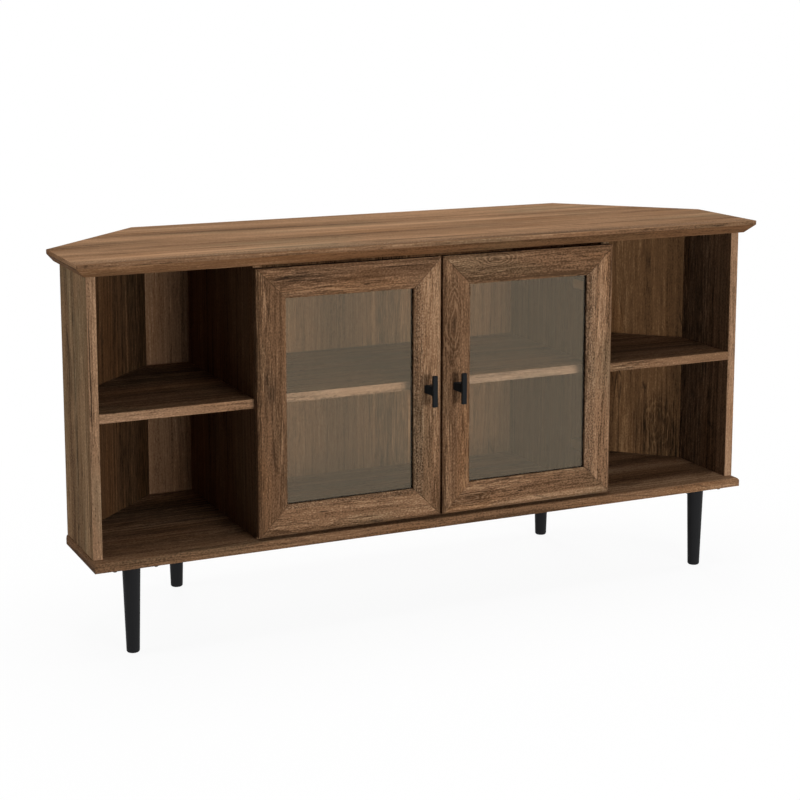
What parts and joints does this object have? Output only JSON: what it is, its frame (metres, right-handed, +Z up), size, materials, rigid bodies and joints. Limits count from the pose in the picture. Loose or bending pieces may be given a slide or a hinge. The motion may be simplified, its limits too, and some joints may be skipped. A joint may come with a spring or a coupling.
{
  "type": "corner tv cabinet",
  "caption": "Low corner TV cabinet on tapered legs with a wide bevelled top, open angled side shelves and framed smoked glass doors on concealed hinges.",
  "frame": {"origin": "on the floor, under the middle of the box round the whole cabinet with its door pulls", "axes": "+X to the right seen from the front, +Y from the front towards the corner of the room, +Z up"},
  "size_m": [1.219, 0.398, 0.627],
  "materials": {
    "top_laminate": "rustic oak print, matt, worn edges",
    "wood_laminate": "rustic oak print, matt, worn edges",
    "back_laminate": "rustic oak print, matt",
    "smoked_glass": "grey-brown tint, glossy",
    "retainer_rubber": "matt",
    "black_metal": "matt black powder coat",
    "black_wood": "matt black lacquer",
    "nickel_steel": "nickel plated"
  },
  "bodies": {
    "cabinet": {"top_panel": "top_laminate", "base_panel": "wood_laminate", "left_side_panel": "wood_laminate", "right_side_panel": "wood_laminate", "left_divider": "wood_laminate", "right_divider": "wood_laminate", "left_shelf": "wood_laminate", "right_shelf": "wood_laminate", "centre_shelf": "wood_laminate", "centre_back_panel": "back_laminate", "left_back_panel": "back_laminate", "right_back_panel": "back_laminate", "left_front_leg_plate": "black_metal", "left_back_leg_plate": "black_metal", "right_front_leg_plate": "black_metal", "right_back_leg_plate": "black_metal", "left_front_leg": "black_wood", "left_back_leg": "black_wood", "right_front_leg": "black_wood", "right_back_leg": "black_wood", "left_lower_hinge_arm": "nickel_steel", "left_lower_hinge_plate": "nickel_steel", "left_upper_hinge_arm": "nickel_steel", "left_upper_hinge_plate": "nickel_steel", "right_lower_hinge_arm": "nickel_steel", "right_lower_hinge_plate": "nickel_steel", "right_upper_hinge_arm": "nickel_steel", "right_upper_hinge_plate": "nickel_steel", "left_front_shelf_pin": "nickel_steel", "left_back_shelf_pin": "nickel_steel", "right_front_shelf_pin": "nickel_steel", "right_back_shelf_pin": "nickel_steel"},
    "left_hinge_levers": {"left_lower_hinge_lever": "nickel_steel", "left_upper_hinge_lever": "nickel_steel"},
    "left_door": {"left_door_hinge_stile": "wood_laminate", "left_door_meeting_stile": "wood_laminate", "left_door_top_rail": "wood_laminate", "left_door_bottom_rail": "wood_laminate", "left_door_glass": "smoked_glass", "left_door_glass_retainer": "retainer_rubber", "left_door_pull": "black_metal", "left_lower_hinge_cup": "nickel_steel", "left_upper_hinge_cup": "nickel_steel"},
    "right_hinge_levers": {"right_lower_hinge_lever": "nickel_steel", "right_upper_hinge_lever": "nickel_steel"},
    "right_door": {"right_door_hinge_stile": "wood_laminate", "right_door_meeting_stile": "wood_laminate", "right_door_top_rail": "wood_laminate", "right_door_bottom_rail": "wood_laminate", "right_door_glass": "smoked_glass", "right_door_glass_retainer": "retainer_rubber", "right_door_pull": "black_metal", "right_lower_hinge_cup": "nickel_steel", "right_upper_hinge_cup": "nickel_steel"}
  },
  "joints": [
    {"name": "left_lever_pivot", "type": "hinge", "parent": "cabinet", "child": "left_hinge_levers", "pos_m": [-0.293, -0.157, 0.3835], "axis": [0, 0, 1], "range_deg": [0, 34]},
    {"name": "left_door_hinge", "type": "hinge", "parent": "left_hinge_levers", "child": "left_door", "pos_m": [-0.3135, -0.1585, 0.3835], "axis": [0, 0, -1], "range_deg": [0, 136]},
    {"name": "right_lever_pivot", "type": "hinge", "parent": "cabinet", "child": "right_hinge_levers", "pos_m": [0.293, -0.157, 0.3835], "axis": [0, 0, -1], "range_deg": [0, 34]},
    {"name": "right_door_hinge", "type": "hinge", "parent": "right_hinge_levers", "child": "right_door", "pos_m": [0.3135, -0.1585, 0.3835], "axis": [0, 0, 1], "range_deg": [0, 136]}
  ],
  "couplings": [
    {"joint": "left_lever_pivot", "follows": "left_door_hinge", "ratio": 0.25},
    {"joint": "right_lever_pivot", "follows": "right_door_hinge", "ratio": 0.25}
  ]
}
